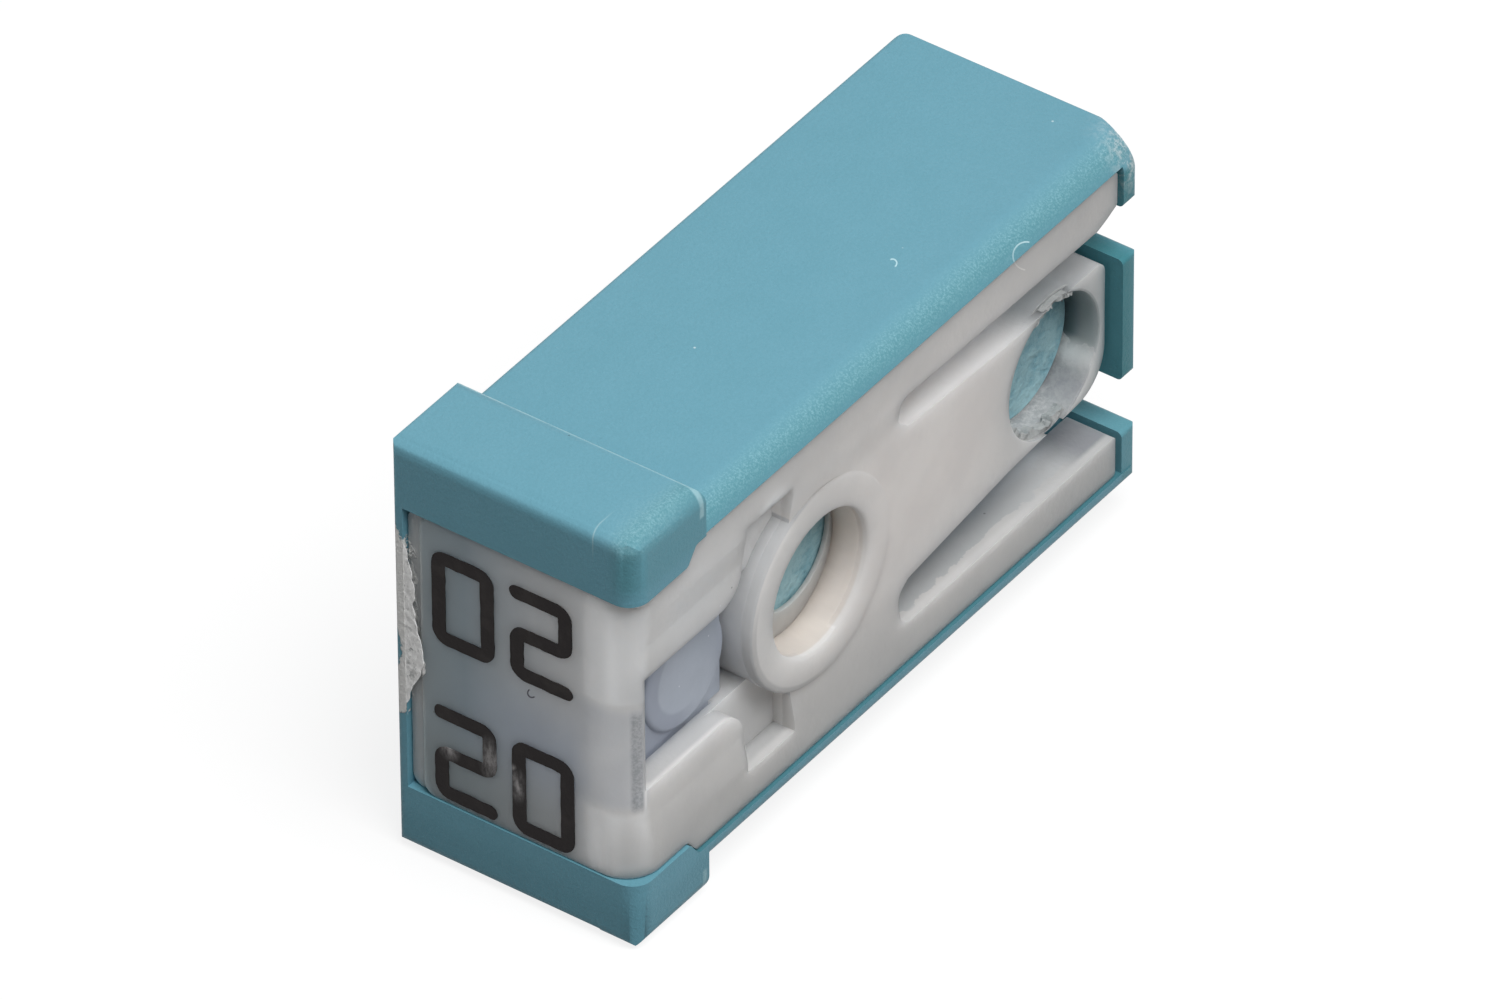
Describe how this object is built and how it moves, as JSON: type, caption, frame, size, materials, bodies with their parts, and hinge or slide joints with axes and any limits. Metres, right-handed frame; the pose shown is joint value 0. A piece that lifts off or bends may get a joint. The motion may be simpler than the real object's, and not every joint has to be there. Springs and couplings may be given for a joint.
{
  "type": "mini cartridge fuse",
  "caption": "Slim cartridge fuse: a coloured plastic housing with proud head rims, a frosted cover with two round holes and open slots, and a stamped element with terminals at the tail.",
  "frame": {"origin": "centre of the bounding box in X and Y, at its lowest point; the fuse lies on its narrow side", "axes": "+X from the head to the tail where the blades enter, +Y from the open front with the frosted cover to the back wall, +Z across the width"},
  "size_m": [0.0182, 0.0062, 0.0109],
  "materials": {
    "teal_plastic": "satin moulded nylon",
    "frosted_plastic": "translucent frosted, milky",
    "plated_sheet": "tin-plated copper alloy sheet",
    "tin": "dull tin",
    "black_ink": "printed ink of the rating numerals on the head face"
  },
  "bodies": {
    "root": {"housing": "teal_plastic", "cover": "frosted_plastic", "fuse_element": "plated_sheet", "tin_pill": "tin"}
  },
  "joints": []
}
